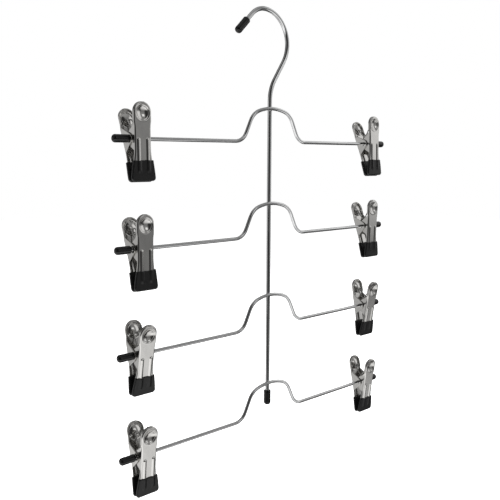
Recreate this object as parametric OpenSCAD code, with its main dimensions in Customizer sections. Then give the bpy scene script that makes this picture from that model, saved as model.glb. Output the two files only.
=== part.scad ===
// Tiered skirt and trouser hanger: one bent hook-and-stem wire, four arched cross
// wires welded in front of it, and eight sprung clips that slide along and swing
// round the cross wires. X runs along the cross wires, -Y is the front, +Z is up.
// The origin is the centre of a rail lying in the hook.

/* [Hook and stem] */
// Diameter of the hook and stem wire
stem_d = 3.9; // [3:0.1:4.5]
// Bend radius of the hook's open side, to the wire's centre
hook_r_open = 21.5; // [19:0.5:23]
// Bend radius of the hook's closed side, to the wire's centre
hook_r_back = 28.3; // [26:0.1:31]
// Angle below level at which the hook's back leaves its bend
hook_back_angle = 33.5; // [30:0.5:40]
// Radius of the small bend where the hook meets the stem
neck_r = 34; // [26:1:36]
// Straight length of the hook's open end after its bend
hook_tail = 22.8; // [18:0.1:28]
// Distance from the rail's centre sideways to the stem
stem_x = 7; // [5:0.5:9]
// Height of the rail's centre above the top tier's wire
rail_to_tier = 94.6; // [85:0.1:110]
// Length of stem below the top tier's wire
stem_below = 248.6; // [245:0.2:255]

/* [Tiers] */
// Diameter of a cross wire
wire_d = 3.2; // [2.8:0.1:3.4]
// Height from one tier to the next
tier_pitch = 85.6; // [80:0.2:100]
// Overall width over the end caps
overall_w = 327.6; // [310:0.2:360]
// Distance of the arches from the middle of the cross wires, to the right
arch_shift = 1.2; // [0:0.1:2]
// Depth that the weld sets each cross wire into the stem
weld_set = 0.3; // [0.1:0.05:0.5]
// Height of the arch over the stem
arch_h = 29.6; // [26:0.2:32]
// Radius of the arch's flat crown
crown_r = 51; // [45:1:60]
// Half angle of the crown
crown_half = 18.2; // [15:0.2:21]
// Radius of the arch's shoulders
shoulder_r = 16.8; // [12:0.2:18]
// Slope of the arch's sides
side_slope = 64.6; // [60:0.2:68]
// Radius of the bends at the arch's feet
foot_r = 13; // [8:0.5:14]

/* [End caps] */
// Diameter of the end caps on the cross wires
cap_d = 6.4; // [6:0.1:7]
// Length of the end caps on the cross wires
cap_len = 13.6; // [12.4:0.1:13.8]
// Thickness of a cap's closed end
cap_floor = 1.4; // [1:0.1:2]
// Diameter of the caps on the hook and the stem
big_cap_d = 6.6; // [6.2:0.1:7.4]
// Length of the cap on the hook's end
hook_cap_len = 16.2; // [15:0.2:20]
// Length of the cap on the stem's lower end
stem_cap_len = 14.4; // [12:0.2:18]

/* [Clips] */
// Height of a plate above the pivot
plate_up = 27.9; // [27:0.1:29]
// Depth of a jaw below the pivot, with its dipped tip
plate_down = 32.4; // [32:0.1:34]
// Sheet thickness of the plates
sheet = 0.8; // [0.7:0.05:0.9]
// Width of a plate's handle
handle_w = 15.6; // [15:0.1:16]
// Width of the front plate at the pivot
pivot_w = 14.6; // [14.4:0.1:14.8]
// Width of a jaw's steel at the bottom
jaw_w = 20.4; // [19.8:0.1:21.4]
// Lean of each plate away from the clip's middle plane
plate_lean = 10.6; // [10.2:0.1:11]
// Distance of a plate's inner face from the pivot
plate_gap = 7.62; // [7.6:0.02:7.8]
// Thickness of the dipped coating
dip_t = 0.7; // [0.5:0.1:0.7]
// Height of the dipped tip
dip_h = 16; // [13:0.2:17]
// Radial clearance of the plates' ears on the wire
ear_clear = 0.08; // [0.04:0.01:0.1]
// Diameter of the thumb recess
recess_d = 12.6; // [11:0.1:13]
// Distance of the thumb recess below the middle of the handle's round end
recess_drop = 0.9; // [0:0.1:1.4]
// Depth of the thumb recess
recess_depth = 2.2; // [1.6:0.1:2.4]
// Distance of each stiffening rib from the plate's middle
rib_x = 4.3; // [4:0.1:4.4]

/* [Rest places of the clips] */
// Distance of the top left clip's middle from the capped end of its wire
in_1_left = 22.1; // [22.1:0.1:30]
// Distance of the top right clip's middle
in_1_right = 23.8; // [22.1:0.1:30]
// Distance of the second left clip's middle
in_2_left = 23.1; // [22.1:0.1:30]
// Distance of the second right clip's middle
in_2_right = 23; // [22.1:0.1:30]
// Distance of the third left clip's middle
in_3_left = 22.1; // [22.1:0.1:30]
// Distance of the third right clip's middle
in_3_right = 22.1; // [22.1:0.1:30]
// Distance of the bottom left clip's middle
in_4_left = 22.7; // [22.1:0.1:30]
// Distance of the bottom right clip's middle
in_4_right = 22.1; // [22.1:0.1:30]

/* [Rest lean of the clips] */
// Lean of the top left clip, handles to the back
lean_1_left = 11; // [-20:0.5:20]
// Lean of the top right clip
lean_1_right = 12.5; // [-20:0.5:20]
// Lean of the second left clip
lean_2_left = 10; // [-20:0.5:20]
// Lean of the second right clip
lean_2_right = 9.5; // [-20:0.5:20]
// Lean of the third left clip
lean_3_left = 0.5; // [-20:0.5:20]
// Lean of the third right clip
lean_3_right = 1; // [-20:0.5:20]
// Lean of the bottom left clip
lean_4_left = 5; // [-20:0.5:20]
// Lean of the bottom right clip
lean_4_right = 3; // [-20:0.5:20]

/* [Springs] */
// Diameter of the spring wire
spring_d = 1.1; // [1:0.05:1.2]
// Radius of the coils, to the wire's centre
coil_r = 2.45; // [2.4:0.05:2.6]
// Turns in each of the two coils
coil_turns = 2.5; // [2.5:1:3.5]

/* [Hidden] */
$fn = 64;

steel = "#c9ccd0";
plate_steel = "#a9a9a4";
vinyl = "#232323";

stem_r = stem_d / 2;
wire_r = wire_d / 2;
tier_y = -(stem_r + wire_r - weld_set);
// Length of a cross wire's arm from the stem to the end of its cap; side -1 is the left, 1 is the right
function arm(side) = overall_w / 2 - side * arch_shift;
function tier_z(k) = -rail_to_tier - tier_pitch * (k - 1);
stem_end_z = -rail_to_tier - stem_below;
leans = [[lean_1_left, lean_1_right], [lean_2_left, lean_2_right],
         [lean_3_left, lean_3_right], [lean_4_left, lean_4_right]];
places = [[in_1_left, in_1_right], [in_2_left, in_2_right],
          [in_3_left, in_3_right], [in_4_left, in_4_right]];

// Hook: the open-side bend is centred on the rail, the back bend is tangent to it at the top
back_cz = hook_r_open - hook_r_back;
ha = hook_back_angle;
back_end = [hook_r_back * cos(ha), back_cz - hook_r_back * sin(ha)];
neck_top_x = stem_x + neck_r * (1 - cos(ha));
neck_run = (back_end[0] - neck_top_x) / sin(ha);
neck_z = back_end[1] - neck_run * cos(ha) - neck_r * sin(ha);
tail_start = [-hook_r_open * sin(45), hook_r_open * cos(45)];

// Arch profile, from the crown outwards
cr = crown_r;
sh_x = cr * sin(crown_half);
sh_z = arch_h - cr * (1 - cos(crown_half));
side_x = sh_x + shoulder_r * (sin(side_slope) - sin(crown_half));
side_z = sh_z - shoulder_r * (cos(crown_half) - cos(side_slope));
foot_z = foot_r * (1 - cos(side_slope));
foot_top_x = side_x + (side_z - foot_z) / tan(side_slope);
foot_x = foot_top_x + foot_r * sin(side_slope);

// Pieces of one wire stop a hair short of each other, and a ball joins them
join = 0.05;
// A bent piece of wire in the XZ plane: centre c, bend radius r, from angle a0 over da
module bend(c, r, a0, da, wr) {
  g = join / r * 180 / PI;
  translate([c[0], 0, c[1]]) rotate([90, 0, 0]) rotate([0, 0, a0 + g])
    rotate_extrude(angle = da - 2 * g, $fn = 96) translate([r, 0]) circle(r = wr, $fn = 32);
}
// A straight piece of wire in the XZ plane between two points; j1 keeps the far end full length at 0
module straight(a, b, wr, j1 = 1) {
  d = b - a;
  u = d / norm(d);
  translate([a[0] + join * u[0], 0, a[1] + join * u[1]]) rotate([0, atan2(d[0], d[1]), 0])
    cylinder(r = wr, h = norm(d) - join * (1 + j1), $fn = 32);
}
// Ball at p; dir is the wire's direction there, as an angle above +X
module ball(p, wr, dir) {
  translate([p[0], 0, p[1]]) rotate([0, 90 - dir, 0]) sphere(r = wr + 0.02, $fn = 48);
}

module hook_stem() {
  neck_top = [neck_top_x, neck_z + neck_r * sin(ha)];
  color(steel) union() {
    straight(tail_start, tail_start + hook_tail * [-sin(45), -cos(45)], stem_r, 0);
    ball(tail_start, stem_r, 45);
    bend([0, 0], hook_r_open, 90, 45, stem_r);
    ball([0, hook_r_open], stem_r, 0);
    bend([0, back_cz], hook_r_back, -ha, 90 + ha, stem_r);
    ball(back_end, stem_r, 90 - ha);
    straight(back_end, neck_top, stem_r);
    ball(neck_top, stem_r, 90 - ha);
    bend([stem_x + neck_r, neck_z], neck_r, 180 - ha, ha, stem_r);
    ball([stem_x, neck_z], stem_r, 90);
    straight([stem_x, neck_z], [stem_x, stem_end_z], stem_r, 0);
  }
}

// Closed cap with a round end: floor at z = 0, mouth at z = len
module cap(d, len, bore_r, floor_t) {
  color(vinyl) difference() {
    union() {
      translate([0, 0, d * 0.36]) cylinder(d = d, h = len - d * 0.36 - 0.5);
      rotate_extrude() intersection() {
        translate([0, d * 0.36]) scale(1) circle(r = d / 2);
        translate([0, 0]) square([d, d * 0.36 + 0.01]);
      }
      translate([0, 0, len - 0.51]) rotate_extrude()
        polygon([[0, 0], [d / 2, 0], [d / 2, 0.2], [d / 2 - 0.3, 0.51], [0, 0.51]]);
    }
    translate([0, 0, floor_t]) cylinder(r = bore_r, h = len);
  }
}

module hook_cap() {
  end = tail_start + hook_tail * [-sin(45), -cos(45)];
  translate([end[0], 0, end[1]]) rotate([0, 45, 0]) translate([0, 0, -cap_floor])
    cap(big_cap_d, hook_cap_len, stem_r, cap_floor);
}
module stem_cap() {
  translate([stem_x, 0, stem_end_z - cap_floor]) cap(big_cap_d, stem_cap_len, stem_r, cap_floor);
}
module end_cap(k, side) {
  translate([stem_x + side * arm(side), tier_y, tier_z(k)]) rotate([0, -side * 90, 0])
    cap(cap_d, cap_len, wire_r, cap_floor);
}

module half_arch(side) {
  ball([sh_x, sh_z], wire_r, -crown_half);
  bend([sh_x - shoulder_r * sin(crown_half), sh_z - shoulder_r * cos(crown_half)],
       shoulder_r, 90 - side_slope, side_slope - crown_half, wire_r);
  ball([side_x, side_z], wire_r, -side_slope);
  straight([side_x, side_z], [foot_top_x, foot_z], wire_r);
  ball([foot_top_x, foot_z], wire_r, -side_slope);
  bend([foot_x, foot_r], foot_r, 270 - side_slope, side_slope, wire_r);
  ball([foot_x, 0], wire_r, 0);
  straight([foot_x, 0], [arm(side) - cap_floor, 0], wire_r, 0);
}
module tier_wire(k) {
  color(steel) translate([stem_x, tier_y, tier_z(k)]) union() {
    bend([0, arch_h - cr], cr, 90 - crown_half, 2 * crown_half, wire_r);
    half_arch(1);
    mirror([1, 0, 0]) half_arch(-1);
  }
}

// ---- Clip plates, drawn flat: X across, Y along the plate (0 at the pivot) ----
hw = handle_w / 2;
pw = pivot_w / 2;
jw = jaw_w / 2;
steel_down = plate_down - dip_t;
smooth = function(t) t <= 0 ? 0 : t >= 1 ? 1 : t * t * (3 - 2 * t);
// Half width of a plate at height s; w is its half width at the pivot
function half_at(s, w) =
  s > 9 ? w + (hw - w) * smooth((s - 9) / 5) :
  s > -7 ? w : w + (jw - w) * smooth((-7 - s) / 26);
top_c = plate_up - hw;
recess_c = top_c - recess_drop;
corner = 2.2;
// Right-hand edge from the bottom to the top; o grows (or shrinks) the outline
function edge(w, o, s0, s1) = [for (i = [0 : 24]) let(s = s0 + (s1 - s0) * i / 24) [half_at(s, w) + o, s]];
function bottom_corner(w, o, sb) = [for (a = [-90 : 15 : 0])
  [half_at(sb, w) + o - corner + corner * cos(a), sb + corner + corner * sin(a)]];
function flip(p) = [for (i = [len(p) - 1 : -1 : 0]) [-p[i][0], p[i][1]]];

module outline(w, o, sb, st) {
  r = concat(bottom_corner(w, o, sb), edge(w, o, sb + corner + 0.6, st));
  polygon(concat(r, flip(r)));
}
module plate_outline(w, o) {
  outline(w, o, -steel_down - o, top_c);
  translate([0, top_c]) circle(r = hw + o);
}
// The upper end only, above height s
module above(s) { translate([-30, s]) square([60, 60]); }
module below(s) { translate([-30, s - 60]) square([60, 60]); }

// Ear: a triangle from the plate's edge to a round end about the pivot
ear_r = 4.5;
ear_top = 12.6;
ear_low = -9.4;
// Tangent point on the ear's round end from an outside point p; sgn picks the side
function tangent(p, sgn) = let(d = norm(p), a = atan2(p[1], p[0]), b = acos(ear_r / d)) ear_r * [cos(a + sgn * b), sin(a + sgn * b)];
module ear_shape(g) {
  difference() {
    union() {
      circle(r = ear_r);
      polygon([[g + sheet, ear_top], [g, ear_top], tangent([g, ear_top], 1), [0, 0], tangent([g, ear_low], -1),
               [g, ear_low], [g + sheet, ear_low]]);
    }
    circle(r = wire_r + ear_clear);
  }
}

rib_r = 2.2;
rib_in = 1.3;
dish_r = (recess_d * recess_d / 4 + recess_depth * recess_depth) / (2 * recess_depth);
rim_deep = 2.4;
lip_deep = 1.4;

// One stamped plate: Z is out of the clip, Z = 0 at the pivot's level, w is its half width there
module plate_solid(w) {
  g = plate_gap;
  dish_z = g + sheet - recess_depth + dish_r;
  difference() {
    union() {
      translate([0, 0, g]) linear_extrude(sheet) plate_outline(w, 0);
      // rolled rim round the handle
      translate([0, 0, g + sheet - rim_deep]) linear_extrude(rim_deep) intersection() {
        difference() { plate_outline(w, 0); plate_outline(w, -sheet); }
        above(ear_top - 0.6);
      }
      // low lips down the jaw's sides and across its end
      translate([0, 0, g + sheet - lip_deep]) linear_extrude(lip_deep) intersection() {
        difference() { plate_outline(w, 0); plate_outline(w, -sheet); }
        below(ear_low + 0.6);
      }
      // ears
      for (sx = [0, 1]) mirror([sx, 0, 0])
        translate([w, 0, 0]) rotate([0, -90, 0]) linear_extrude(sheet) ear_shape(g);
      // back of the thumb recess
      intersection() {
        translate([0, recess_c, dish_z]) sphere(r = dish_r + sheet, $fn = 96);
        translate([0, recess_c, 0]) cylinder(r = hw - 0.4, h = g + sheet);
      }
      // stiffening ribs
      for (sx = [-1, 1]) intersection() {
        union() {
          translate([sx * rib_x, -1, g + sheet - rib_in]) sphere(r = rib_r, $fn = 48);
          translate([sx * rib_x, -24, g + sheet - rib_in]) sphere(r = rib_r, $fn = 48);
          translate([sx * rib_x, -1, g + sheet - rib_in]) rotate([90, 0, 0]) cylinder(r = rib_r, h = 23, $fn = 48);
        }
        translate([-20, -40, g + 0.3]) cube([40, 60, 10]);
      }
    }
    translate([0, recess_c, dish_z]) sphere(r = dish_r, $fn = 96);
    for (sx = [-1, 1]) {
      translate([sx * rib_x, -1, g + sheet - rib_in]) sphere(r = rib_r - sheet, $fn = 48);
      translate([sx * rib_x, -24, g + sheet - rib_in]) sphere(r = rib_r - sheet, $fn = 48);
      translate([sx * rib_x, -1, g + sheet - rib_in]) rotate([90, 0, 0]) cylinder(r = rib_r - sheet, h = 23, $fn = 48);
    }
  }
}

// The dipped tip: a block round the jaw, with the steel taken out of it
module tip_solid(w) {
  g = plate_gap;
  inner = g + sheet - lip_deep - 0.6;
  top = -plate_down + dip_h;
  difference() {
    union() {
      translate([0, 0, inner]) linear_extrude(g + sheet + dip_t - inner) intersection() {
        plate_outline(w, dip_t);
        below(top);
      }
      for (sx = [-1, 1]) intersection() {
        union() {
          translate([sx * rib_x, -24, g + sheet - rib_in]) sphere(r = rib_r + dip_t, $fn = 48);
          translate([sx * rib_x, -10, g + sheet - rib_in]) rotate([90, 0, 0]) cylinder(r = rib_r + dip_t, h = 14, $fn = 48);
        }
        translate([-20, top - 30, g + 0.3]) cube([40, 30, 10]);
      }
    }
    plate_solid(w);
  }
}

back_half = pw + sheet + 0.2;
// Puts a flat-drawn plate in place on the clip: side -1 is the front, 1 is the back
module seat(side) {
  if (side < 0) rotate([plate_lean, 0, 0]) rotate([90, 0, 0]) children();
  else mirror([0, 1, 0]) rotate([plate_lean, 0, 0]) rotate([90, 0, 0]) children();
}
// Puts a clip on its wire, leaned as it hangs
module on_wire(k, side) {
  i = side < 0 ? 0 : 1;
  translate([stem_x + side * (arm(side) - places[k - 1][i]), tier_y, tier_z(k)])
    rotate([-leans[k - 1][i], 0, 0]) children();
}
module front_plate(k, side) { color(plate_steel) on_wire(k, side) seat(-1) plate_solid(pw); }
module back_plate(k, side) { color(plate_steel) on_wire(k, side) seat(1) plate_solid(back_half); }
module front_tip(k, side) { color(vinyl) on_wire(k, side) seat(-1) tip_solid(pw); }
module back_tip(k, side) { color(vinyl) on_wire(k, side) seat(1) tip_solid(back_half); }

// ---- Spring: two coils on the wire, a loop under the back handle, two ends under the front handle ----
sr = spring_d / 2;
leg_off = plate_gap - sr - 0.06;
// Heights at which the two ends and the loop rest against the backs of the thumb recesses
leg_s = 17;
loop_s = 18;
function rest_n(x, s) = let(q = dish_r + sheet + sr + 0.06, d = s - recess_c)
  min(leg_off, plate_gap + sheet - recess_depth + dish_r - sqrt(q * q - x * x - d * d));
// A point in the clip's frame (y, z) from a plate's own (distance out, height)
function front_pt(n, s) = [-n * cos(plate_lean) - s * sin(plate_lean), -n * sin(plate_lean) + s * cos(plate_lean)];
function back_pt(n, s) = [n * cos(plate_lean) + s * sin(plate_lean), -n * sin(plate_lean) + s * cos(plate_lean)];
fe = front_pt(rest_n(5, leg_s), leg_s);
be = back_pt(rest_n(0, loop_s), loop_s);
// Angle round the wire at which a straight leg to point p leaves the coil
fa = atan2(fe[1], fe[0]) - acos(coil_r / norm(fe));
ba = atan2(be[1], be[0]) + acos(coil_r / norm(be));
coil_pitch = spring_d + 0.12;
coil_x0 = 6.2 - sr;
coil_n = 12;
// Coil angle runs backwards from the front leg to the back leg, whole turns added
sweep = 360 * floor(coil_turns) + (fa - ba + 720) % 360;
steps = ceil(sweep / 360 * coil_n);
coil_x1 = coil_x0 - coil_pitch * sweep / 360;
half_path = concat(
  [[coil_x0 - 0.2, fe[0], fe[1]]],
  [for (i = [0 : steps]) let(a = fa - sweep * i / steps) [coil_x0 - coil_pitch * sweep / 360 * i / steps, coil_r * cos(a), coil_r * sin(a)]],
  [[coil_x1 - 0.1, be[0] * 0.55 + coil_r * cos(ba) * 0.45, be[1] * 0.55 + coil_r * sin(ba) * 0.45],
   [coil_x1 - 0.15, be[0] - (be[0] - coil_r * cos(ba)) * 0.1, be[1] - (be[1] - coil_r * sin(ba)) * 0.1],
   [coil_x1 - 0.65, be[0], be[1]]]);
nh = len(half_path);
spring_path = concat(half_path, [for (i = [nh - 1 : -1 : 0]) [-half_path[i][0], half_path[i][1], half_path[i][2]]]);
function unit(v) = v / norm(v);
function tangent_at(p, i) = unit(p[min(i + 1, len(p) - 1)] - p[max(i - 1, 0)]);
// Carries a side direction along the path without twist
function carry(p, i, n) = let(t = tangent_at(p, i), m = unit(n - (n * t) * t)) i == len(p) - 1 ? [m] : concat([m], carry(p, i + 1, m));
ring_n = 8;
module sweep_wire(p, r) {
  n = len(p);
  side = carry(p, 0, [0.3, 0.2, 1]);
  pts = [for (i = [0 : n - 1]) let(t = tangent_at(p, i), u = side[i], v = cross(t, u))
    for (j = [0 : ring_n - 1]) p[i] + r * (cos(360 * j / ring_n) * u + sin(360 * j / ring_n) * v)];
  faces = concat(
    [[for (j = [0 : ring_n - 1]) j]],
    [[for (j = [ring_n - 1 : -1 : 0]) (n - 1) * ring_n + j]],
    [for (i = [0 : n - 2], j = [0 : ring_n - 1])
      [i * ring_n + j, (i + 1) * ring_n + j, (i + 1) * ring_n + (j + 1) % ring_n, i * ring_n + (j + 1) % ring_n]]);
  polyhedron(points = pts, faces = faces);
}
module spring(k, side) { color(steel) on_wire(k, side) sweep_wire(spring_path, sr); }

hook_stem();
hook_cap();
stem_cap();
tier_wire(1);  // tier_wire_1
tier_wire(2);  // tier_wire_2
tier_wire(3);  // tier_wire_3
tier_wire(4);  // tier_wire_4
end_cap(1, -1);  // end_cap_1_left
end_cap(1, 1);  // end_cap_1_right
end_cap(2, -1);  // end_cap_2_left
end_cap(2, 1);  // end_cap_2_right
end_cap(3, -1);  // end_cap_3_left
end_cap(3, 1);  // end_cap_3_right
end_cap(4, -1);  // end_cap_4_left
end_cap(4, 1);  // end_cap_4_right
spring(1, -1);  // spring_1_left
spring(1, 1);  // spring_1_right
spring(2, -1);  // spring_2_left
spring(2, 1);  // spring_2_right
spring(3, -1);  // spring_3_left
spring(3, 1);  // spring_3_right
spring(4, -1);  // spring_4_left
spring(4, 1);  // spring_4_right
front_plate(1, -1);  // front_plate_1_left
front_plate(1, 1);  // front_plate_1_right
front_plate(2, -1);  // front_plate_2_left
front_plate(2, 1);  // front_plate_2_right
front_plate(3, -1);  // front_plate_3_left
front_plate(3, 1);  // front_plate_3_right
front_plate(4, -1);  // front_plate_4_left
front_plate(4, 1);  // front_plate_4_right
front_tip(1, -1);  // front_tip_1_left
front_tip(1, 1);  // front_tip_1_right
front_tip(2, -1);  // front_tip_2_left
front_tip(2, 1);  // front_tip_2_right
front_tip(3, -1);  // front_tip_3_left
front_tip(3, 1);  // front_tip_3_right
front_tip(4, -1);  // front_tip_4_left
front_tip(4, 1);  // front_tip_4_right
back_plate(1, -1);  // back_plate_1_left
back_plate(1, 1);  // back_plate_1_right
back_plate(2, -1);  // back_plate_2_left
back_plate(2, 1);  // back_plate_2_right
back_plate(3, -1);  // back_plate_3_left
back_plate(3, 1);  // back_plate_3_right
back_plate(4, -1);  // back_plate_4_left
back_plate(4, 1);  // back_plate_4_right
back_tip(1, -1);  // back_tip_1_left
back_tip(1, 1);  // back_tip_1_right
back_tip(2, -1);  // back_tip_2_left
back_tip(2, 1);  // back_tip_2_right
back_tip(3, -1);  // back_tip_3_left
back_tip(3, 1);  // back_tip_3_right
back_tip(4, -1);  // back_tip_4_left
back_tip(4, 1);  // back_tip_4_right
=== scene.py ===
import math
import bpy
import bmesh
import numpy as np
from mathutils import Matrix, Vector


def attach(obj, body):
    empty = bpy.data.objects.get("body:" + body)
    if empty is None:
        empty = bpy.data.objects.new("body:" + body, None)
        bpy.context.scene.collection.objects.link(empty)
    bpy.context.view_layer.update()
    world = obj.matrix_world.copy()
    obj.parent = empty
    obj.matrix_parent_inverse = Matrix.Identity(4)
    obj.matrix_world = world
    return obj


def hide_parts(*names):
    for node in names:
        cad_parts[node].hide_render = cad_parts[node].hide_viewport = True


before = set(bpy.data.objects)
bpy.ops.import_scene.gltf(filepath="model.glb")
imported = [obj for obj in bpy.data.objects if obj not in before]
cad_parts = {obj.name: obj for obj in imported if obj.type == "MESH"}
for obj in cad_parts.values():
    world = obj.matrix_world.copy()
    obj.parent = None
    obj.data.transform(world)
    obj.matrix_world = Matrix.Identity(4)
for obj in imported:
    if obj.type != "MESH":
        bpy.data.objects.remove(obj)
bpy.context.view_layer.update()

MM = 0.001

# ---------------------------------------------------------------- sizes, in mm, as in the CAD
STEM_R, WIRE_R, WELD = 1.95, 1.6, 0.3
STEM_X, RAIL_TO_TIER, PITCH = 7.0, 94.6, 85.6
TIER_Y = -(STEM_R + WIRE_R - WELD)
ARM = {-1: 165.0, 1: 162.6}                  # stem to capped end, left and right
CAP_FLOOR, CAP_LEN, CAP_D = 1.4, 13.6, 6.4
BIG_CAP_D, HOOK_CAP_LEN, STEM_CAP_LEN = 6.6, 16.2, 14.4
STEM_END = -RAIL_TO_TIER - 248.6
R_OPEN, R_BACK, HA, NECK_R, TAIL = 21.5, 28.3, math.radians(33.5), 34.0, 22.8
ARCH_H, CROWN_R, CROWN_A = 29.6, 51.0, math.radians(18.2)
SHOULDER_R, SLOPE, FOOT_R = 16.8, math.radians(64.6), 13.0
UP, DOWN, SHEET, HANDLE_W, PIVOT_W, JAW_W = 27.9, 32.4, 0.8, 15.6, 14.6, 20.4
LEAN_A, GAP, DIP_T, DIP_H = math.radians(10.6), 7.62, 0.7, 16.0
RIB_X = 4.3
SPRING_R, COIL_R = 0.55, 2.45
LEANS = {(1, "left"): 11.0, (1, "right"): 12.5, (2, "left"): 10.0, (2, "right"): 9.5,
         (3, "left"): 0.5, (3, "right"): 1.0, (4, "left"): 5.0, (4, "right"): 3.0}
CLIP_IN = {(1, "left"): 22.1, (1, "right"): 23.8, (2, "left"): 23.1, (2, "right"): 23.0,
           (3, "left"): 22.1, (3, "right"): 22.1, (4, "left"): 22.7, (4, "right"): 22.1}   # from the capped end


def tier_z(k):
    return -RAIL_TO_TIER - PITCH * (k - 1)


# ---------------------------------------------------------------- materials
def nodes_of(name):
    m = bpy.data.materials.new(name)
    m.use_nodes = True
    nt = m.node_tree
    b = nt.nodes["Principled BSDF"]
    return m, nt, b


def add(nt, kind, x=0, y=0, **kw):
    n = nt.nodes.new(kind)
    n.location = (x, y)
    for k, v in kw.items():
        setattr(n, k, v)
    return n


def noise(nt, vec, scale, detail=3.0, rough=0.5, stretch=(1, 1, 1)):
    mp = add(nt, "ShaderNodeMapping")
    mp.inputs["Scale"].default_value = stretch
    nt.links.new(vec, mp.inputs["Vector"])
    n = add(nt, "ShaderNodeTexNoise")
    n.inputs["Scale"].default_value = scale
    n.inputs["Detail"].default_value = detail
    n.inputs["Roughness"].default_value = rough
    nt.links.new(mp.outputs["Vector"], n.inputs["Vector"])
    return n.outputs["Fac"]


def ramp(nt, fac, stops, interp="LINEAR"):
    r = add(nt, "ShaderNodeValToRGB")
    r.color_ramp.interpolation = interp
    e = r.color_ramp.elements
    while len(e) < len(stops):
        e.new(0.5)
    for i, (p, c) in enumerate(stops):
        e[i].position = p
        e[i].color = c if len(c) == 4 else (*c, 1)
    nt.links.new(fac, r.inputs["Fac"])
    return r.outputs["Color"]


def math_node(nt, op, a, b=None, c=None):
    n = add(nt, "ShaderNodeMath", operation=op)
    for i, v in enumerate((a, b, c)):
        if v is None:
            continue
        if isinstance(v, (int, float)):
            n.inputs[i].default_value = v
        else:
            nt.links.new(v, n.inputs[i])
    return n.outputs[0]


def bump(nt, height, strength, dist, normal=None):
    b = add(nt, "ShaderNodeBump")
    b.inputs["Strength"].default_value = strength
    b.inputs["Distance"].default_value = dist
    nt.links.new(height, b.inputs["Height"])
    if normal is not None:
        nt.links.new(normal, b.inputs["Normal"])
    return b.outputs["Normal"]


def grey(v):
    return (v, v, v, 1)


def make_chrome():
    # drawn wire, plated: fine lines along the wire, a little cloudiness, faint handling marks
    m, nt, b = nodes_of("chromed_wire")
    uv = add(nt, "ShaderNodeUVMap").outputs["UV"]
    lines = noise(nt, uv, 1.0, 4, 0.6, (2600, 60, 1))
    cloud = noise(nt, uv, 1.0, 3, 0.55, (120, 55, 1))
    spots = noise(nt, uv, 1.0, 2, 0.5, (900, 700, 1))
    b.inputs["Metallic"].default_value = 1
    col = ramp(nt, cloud, [(0.3, (0.70, 0.705, 0.71)), (0.7, (0.80, 0.80, 0.80))])
    nt.links.new(col, b.inputs["Base Color"])
    rough = math_node(nt, "MULTIPLY_ADD", cloud, 0.07, 0.055)
    rough = math_node(nt, "MULTIPLY_ADD", lines, 0.05, rough)
    nt.links.new(rough, b.inputs["Roughness"])
    h = math_node(nt, "MULTIPLY_ADD", spots, 0.5, lines)
    nt.links.new(bump(nt, h, 0.05, 0.00002), b.inputs["Normal"])
    return m


def make_plate(name="clip_steel", tone=1.0):
    # pressed sheet, bright nickel: rolling streaks along the plate, soft orange peel, duller cut edges
    m, nt, b = nodes_of(name)
    uv = add(nt, "ShaderNodeUVMap").outputs["UV"]
    streak = noise(nt, uv, 1.0, 4, 0.6, (1500, 55, 1))
    fine = noise(nt, uv, 1.0, 3, 0.6, (5200, 260, 1))
    cloud = noise(nt, uv, 1.0, 4, 0.6, (110, 70, 1))
    peel = noise(nt, uv, 1.0, 2, 0.5, (420, 420, 1))
    wear = add(nt, "ShaderNodeAttribute", attribute_name="wear").outputs["Fac"]
    b.inputs["Metallic"].default_value = 1
    c1 = ramp(nt, cloud, [(0.28, grey(0.60 * tone)), (0.72, grey(0.72 * tone))])
    warm = add(nt, "ShaderNodeMix", data_type="RGBA", blend_type="MULTIPLY")
    warm.inputs["Factor"].default_value = 1
    nt.links.new(c1, warm.inputs["A"])
    warm.inputs["B"].default_value = (1.0, 0.985, 0.955, 1)
    dark = add(nt, "ShaderNodeMix", data_type="RGBA")
    nt.links.new(wear, dark.inputs["Factor"])
    nt.links.new(warm.outputs["Result"], dark.inputs["A"])
    dark.inputs["B"].default_value = (0.40, 0.39, 0.37, 1)
    nt.links.new(dark.outputs["Result"], b.inputs["Base Color"])
    r = math_node(nt, "MULTIPLY_ADD", cloud, 0.08, 0.055)
    r = math_node(nt, "MULTIPLY_ADD", streak, 0.07, r)
    r = math_node(nt, "MULTIPLY_ADD", wear, 0.22, r)
    nt.links.new(r, b.inputs["Roughness"])
    h = math_node(nt, "MULTIPLY_ADD", fine, 0.35, streak)
    n1 = bump(nt, h, 0.11, 0.00003)
    n2 = bump(nt, peel, 0.08, 0.00006, n1)
    nt.links.new(n2, b.inputs["Normal"])
    return m


def make_spring():
    m, nt, b = nodes_of("spring_wire")
    uv = add(nt, "ShaderNodeUVMap").outputs["UV"]
    lines = noise(nt, uv, 1.0, 4, 0.6, (3000, 90, 1))
    cloud = noise(nt, uv, 1.0, 3, 0.5, (300, 160, 1))
    b.inputs["Metallic"].default_value = 1
    nt.links.new(ramp(nt, cloud, [(0.3, (0.46, 0.455, 0.44)), (0.7, (0.62, 0.61, 0.59))]), b.inputs["Base Color"])
    nt.links.new(math_node(nt, "MULTIPLY_ADD", lines, 0.2, 0.16), b.inputs["Roughness"])
    nt.links.new(bump(nt, lines, 0.2, 0.00002), b.inputs["Normal"])
    return m


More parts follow.
